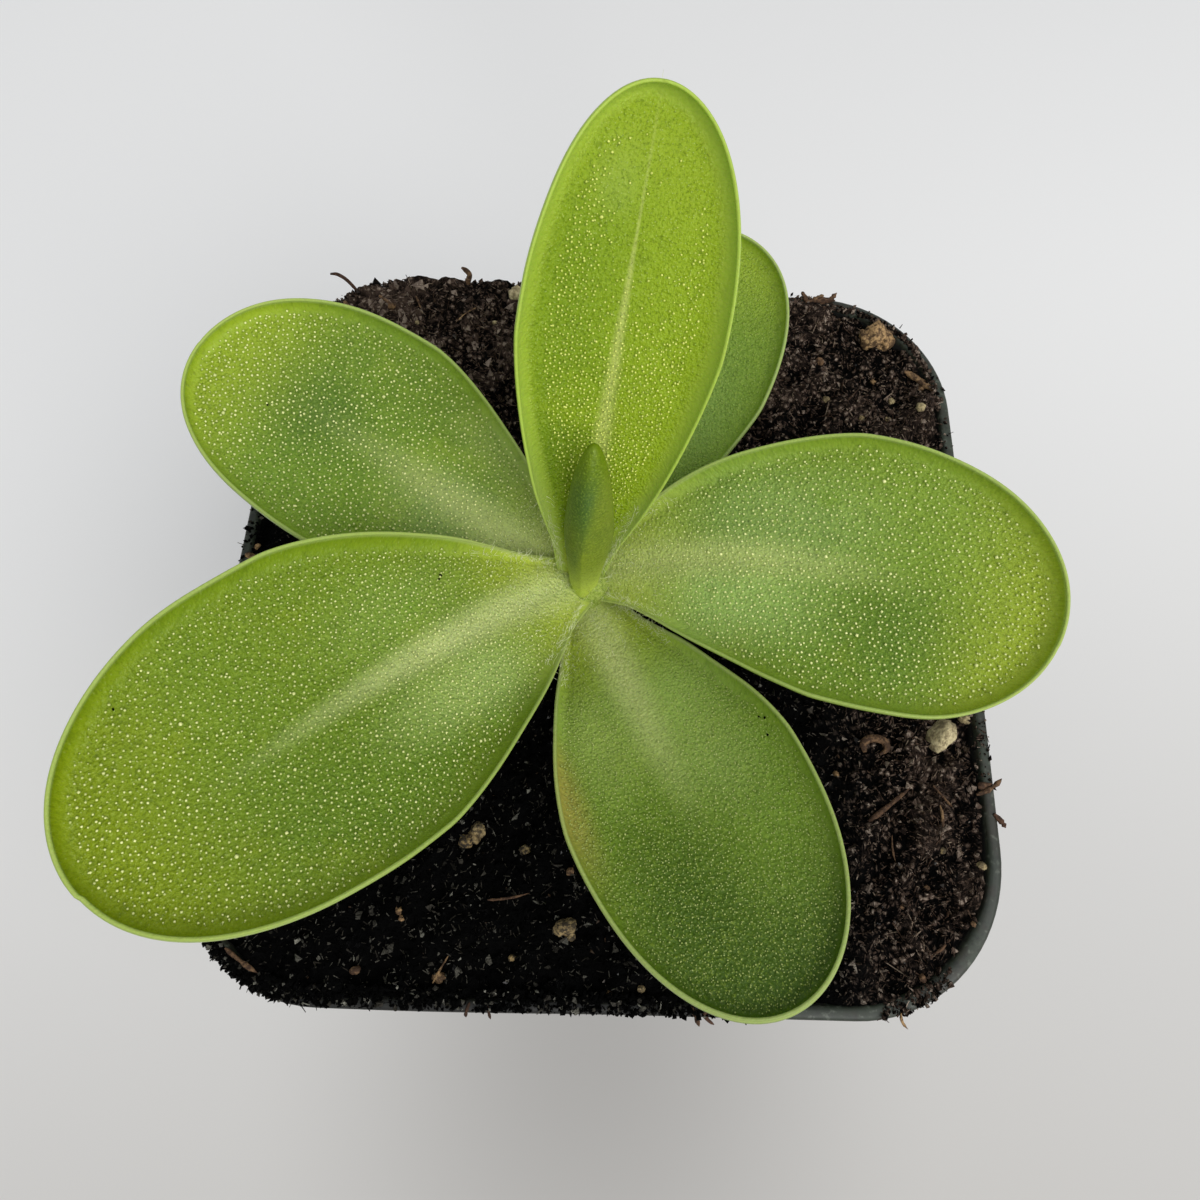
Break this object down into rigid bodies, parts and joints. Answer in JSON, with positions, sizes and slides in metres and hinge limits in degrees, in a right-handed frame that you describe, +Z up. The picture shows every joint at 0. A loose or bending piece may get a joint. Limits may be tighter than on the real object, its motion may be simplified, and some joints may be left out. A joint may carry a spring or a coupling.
{
  "type": "butterwort in a pot",
  "caption": "Butterwort rosette with thick rolled-edge leaves on a short crown, growing in peat soil in a tapered square nursery pot with rounded corners.",
  "frame": {"origin": "middle of the pot's foot, in the plane it stands on", "axes": "+Z up, X and Y along the pot's sides, +Y towards the steep young leaf"},
  "size_m": [0.0915, 0.089, 0.1278],
  "materials": {
    "pot_plastic": "satin",
    "peat": "matte",
    "crown_tissue": "satin",
    "old_leaf": "satin",
    "open_leaf": "satin",
    "young_leaf": "satin"
  },
  "bodies": {
    "root": {"pot": "pot_plastic", "soil": "peat", "crown": "crown_tissue", "leaf_back_right": "old_leaf", "leaf_front": "old_leaf", "leaf_left": "open_leaf", "leaf_right": "open_leaf", "leaf_front_left": "open_leaf", "leaf_back": "young_leaf", "leaf_centre": "young_leaf"}
  },
  "joints": []
}
